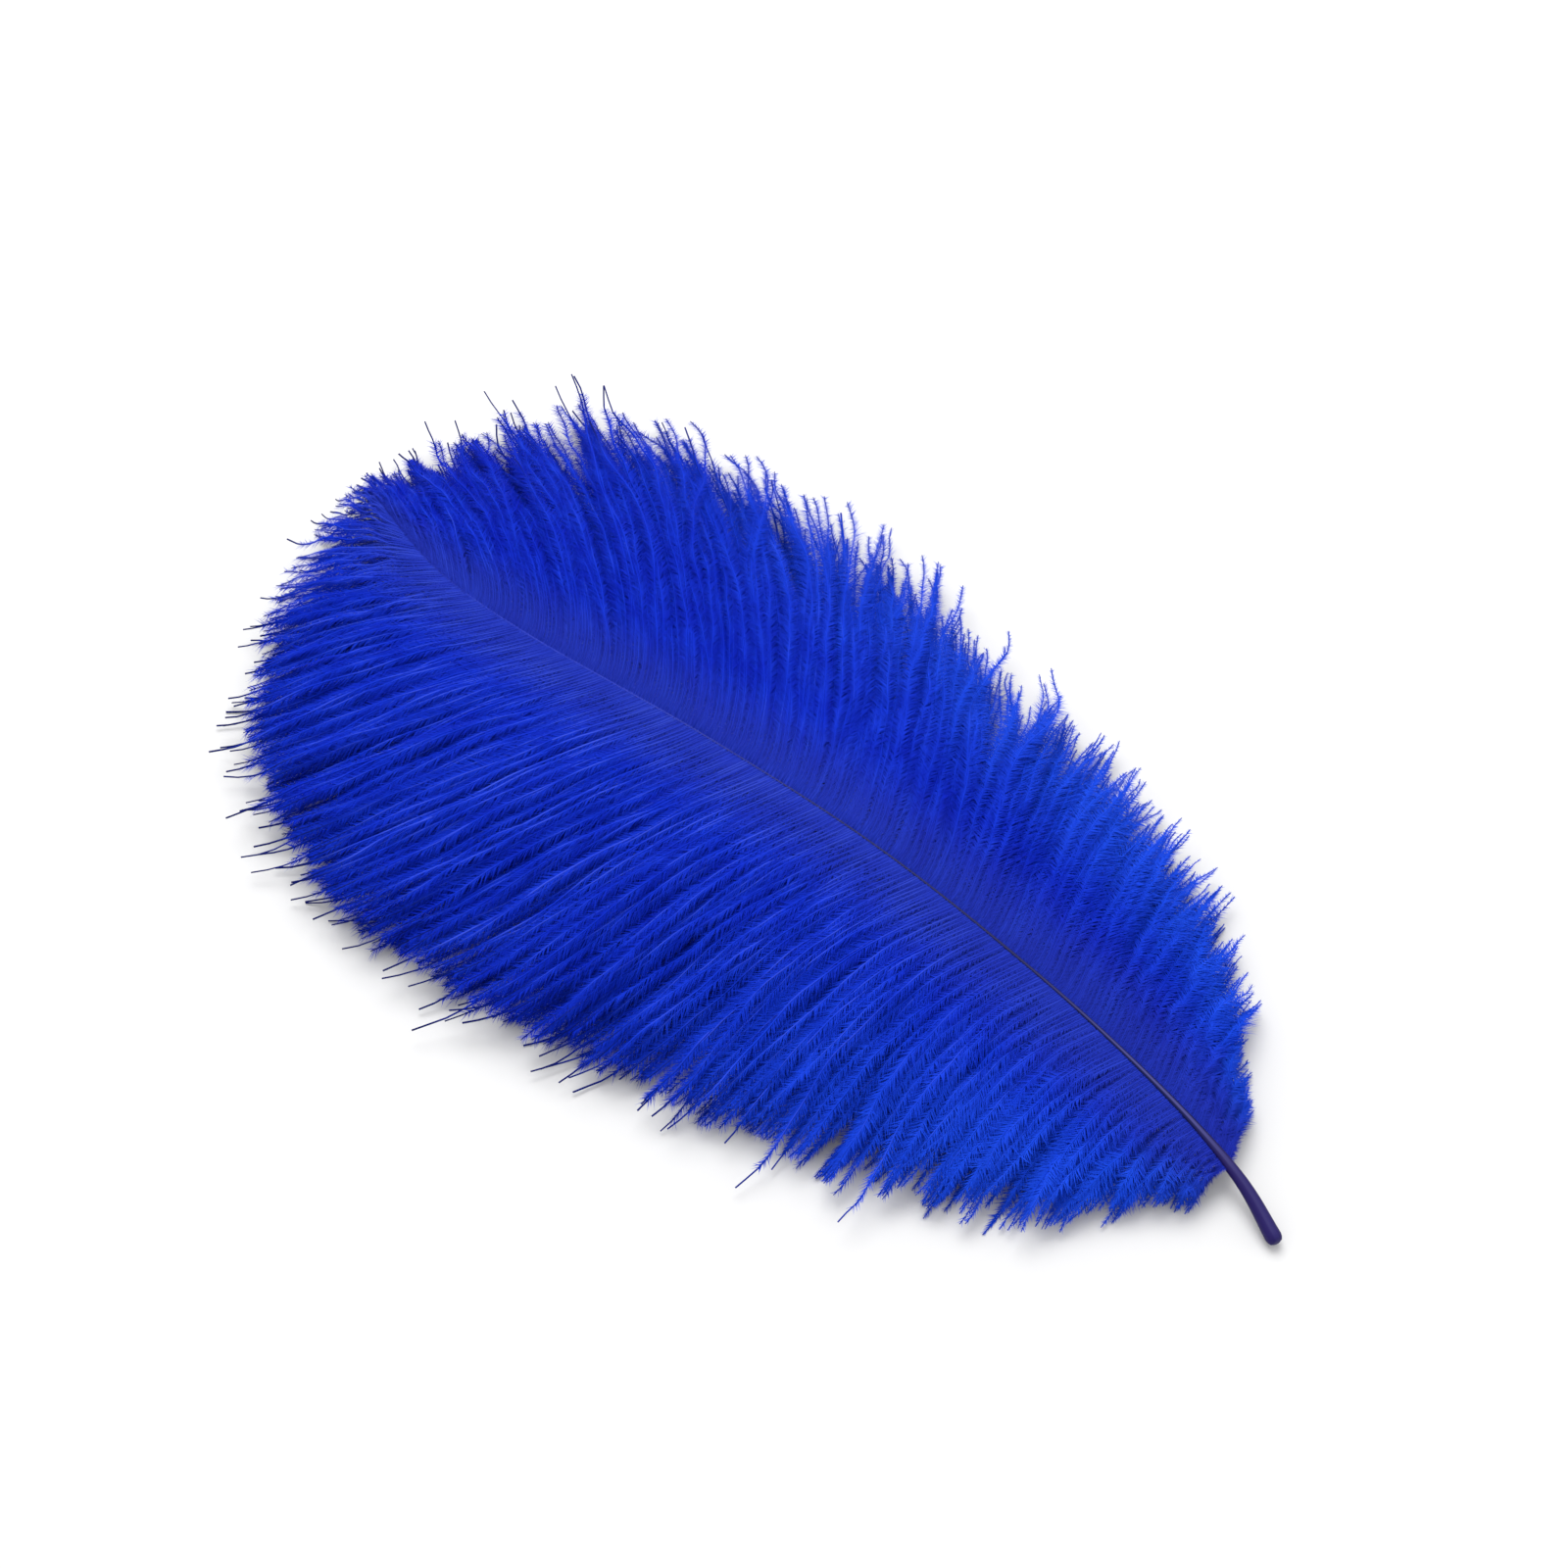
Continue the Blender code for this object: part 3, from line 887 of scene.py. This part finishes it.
# Painted highlight: the pale line along the top of the shaft.
TOP_HIGHLIGHT = (0.050, 0.048, 0.19, 1)
UPPER_SHAFT = (0.012, 0.028, 0.36, 1)
HIGHLIGHT_ACROSS = (0.55, 0.78)
HIGHLIGHT_STARTS = (0.04, 0.12)
HIGHLIGHT_FADES = (0.16, 0.30)
QUILL_ENDS = (0.05, 0.12)
BLUE_STARTS = (0.45, 0.72)


def dyed_quill_with_highlight():
    finish = Finish("dyed_quill_with_highlight")
    along, top = (finish.on_mesh(name) for name in ("along", "top"))
    # Painted highlight: a pale line along the top of the shaft, weak at the quill and fading out towards the tip.
    line = finish.stretch(top, *HIGHLIGHT_ACROSS) * (0.15 + 0.85 * finish.stretch(along, *HIGHLIGHT_STARTS))
    edges = finish.mix(finish.stretch(along, *QUILL_ENDS), QUILL_EDGE, SHAFT_EDGE)
    line = line * (1 - 0.85 * finish.stretch(along, *HIGHLIGHT_FADES))
    blue = finish.mix(line, edges, TOP_HIGHLIGHT)
    blue = finish.mix(finish.stretch(along, *BLUE_STARTS), blue, UPPER_SHAFT)
    return finish.surface(Base_Color=blue, Roughness=0.5, Specular_IOR_Level=0.15)


def shaft_radius(share):
    """Thickest at the quill, thin and slowly thinner from the first barbs on, and rounded at the cut end."""
    quill = QUILL_RADIUS + (RACHIS_RADIUS - QUILL_RADIUS) * (share / QUILL_SHARE)
    rachis = SHAFT_TIP_RADIUS + (RACHIS_RADIUS - SHAFT_TIP_RADIUS) * np.exp((QUILL_SHARE - share) / THINNING)
    rounded = np.sqrt(np.clip(1 - (1 - share / ROUNDED_SHARE) ** 2, 0, 1))
    fullness = np.where(share < ROUNDED_SHARE, at_least(END_FULLNESS, rounded), 1.0)
    return np.where(share < QUILL_SHARE, quill, rachis) * fullness


def shaft_piece():
    points, faces = thin_rod(SHAFT_SIDES, SHAFT_STEPS)
    share = points[:, 0] ** END_STEPS
    spot = read_line(share, SHAFT_SHARES, SHAFT_LINE)
    known = np.linspace(0, 1, LINE_POINTS)
    directions = frame_along(read_line(known, SHAFT_SHARES, SHAFT_LINE), np.zeros(LINE_POINTS))
    _, aside, above = (read_line(share, known, values) for values in directions)
    radius = shaft_radius(share)
    across, up = points[:, 1], points[:, 2]
    groove = GROOVE * np.exp(-(across / GROOVE_WIDTH) ** 2) * (up > 0) * smooth_step(*GROOVE_OVER, share)
    place = spot + aside * (across * radius)[:, None] + above * ((up - groove) * radius)[:, None]
    values = {"along": share, "top": np.where(up > 0, 1 - np.abs(across), 0.0)}
    uv = np.column_stack([0.5 + UV_HALF * np.arctan2(across, up) / math.pi, share])
    print("quill", 2000 * QUILL_RADIUS, "mm across,", len(faces), "triangles")
    return mesh_from("quill_and_shaft", place, faces, is_end(points, faces), values, uv, dyed_quill_with_highlight())


PIECES.append(shaft_piece())

# %% [markdown]
# ## The pieces and the solid part
# Nothing on a plume moves on a hinge, so all pieces ride on the one body. Together they stand for the solid,
# which stays out of sight and goes on carrying the contact with the table.

# %% Pieces ride on the solid part
for piece in PIECES:
    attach(piece, "root")
    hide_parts("feather")
print("triangles in all", sum(len(piece.data.polygons) for piece in PIECES))

# %% [markdown]
# ## Table, light and camera
# The plume lies on a plain white table under wide, soft studio light, seen from above the quill's left. One large
# lamp gives the soft shadow, and a bright room fills it. A small lamp would draw hard edges on every barb.

# %% Table, light and camera
CAMERA_PLACE = (-0.30888, -0.31151, 0.54623)
CAMERA_AZIMUTH, CAMERA_ELEVATION = 314.4, 50.0
CAMERA_LENS = 77.0
SENSOR_WIDTH = 36
TABLE_SIZE = 6
TABLE_WHITE = (0.66, 0.66, 0.663, 1)
ROOM_LIGHT = 1.02
WINDOW_PLACE = (0.35, 0.45, 1.2)
WINDOW_SIZE = 1.1
WINDOW_POWER = 14


def white_table():
    deselect()
    bpy.ops.mesh.primitive_plane_add(size=TABLE_SIZE, location=(0, 0, 0))
    table = bpy.context.object
    table.name = "table"
    finish = Finish("white_table")
    table.data.materials.append(finish.surface(Base_Color=TABLE_WHITE, Roughness=0.9))


def soft_light(name, place, size, power, aim=(0, 0, 0)):
    light = bpy.data.lights.new(name, "AREA")
    light.shape = "DISK"
    light.size = size
    light.energy = power
    lamp = bpy.data.objects.new(name, light)
    lamp.location = place
    direction = np.array(aim) - np.array(place)
    flat = math.hypot(direction[0], direction[1])
    lamp.rotation_euler = (math.pi / 2 - math.atan2(-direction[2], flat), 0,
                           math.atan2(direction[1], direction[0]) - math.pi / 2)
    bpy.context.scene.collection.objects.link(lamp)


def white_room(strength):
    world = bpy.data.worlds.new("white_room")
    world.use_nodes = True
    world.node_tree.nodes["Background"].inputs["Color"].default_value = (1, 1, 1, 1)
    world.node_tree.nodes["Background"].inputs["Strength"].default_value = strength
    bpy.context.scene.world = world


def set_camera():
    camera = bpy.data.cameras.new("camera")
    camera.lens = CAMERA_LENS
    camera.sensor_width = SENSOR_WIDTH
    eye = bpy.data.objects.new("camera", camera)
    eye.location = CAMERA_PLACE
    eye.rotation_euler = (math.radians(90 - CAMERA_ELEVATION), 0, math.radians(CAMERA_AZIMUTH))
    bpy.context.scene.collection.objects.link(eye)
    bpy.context.scene.camera = eye


white_table()
white_room(ROOM_LIGHT)
soft_light("window_above", WINDOW_PLACE, WINDOW_SIZE, WINDOW_POWER)
set_camera()
bpy.context.scene.view_settings.view_transform = "Standard"
print("camera looks down", CAMERA_ELEVATION, "degrees with a", CAMERA_LENS, "mm lens")
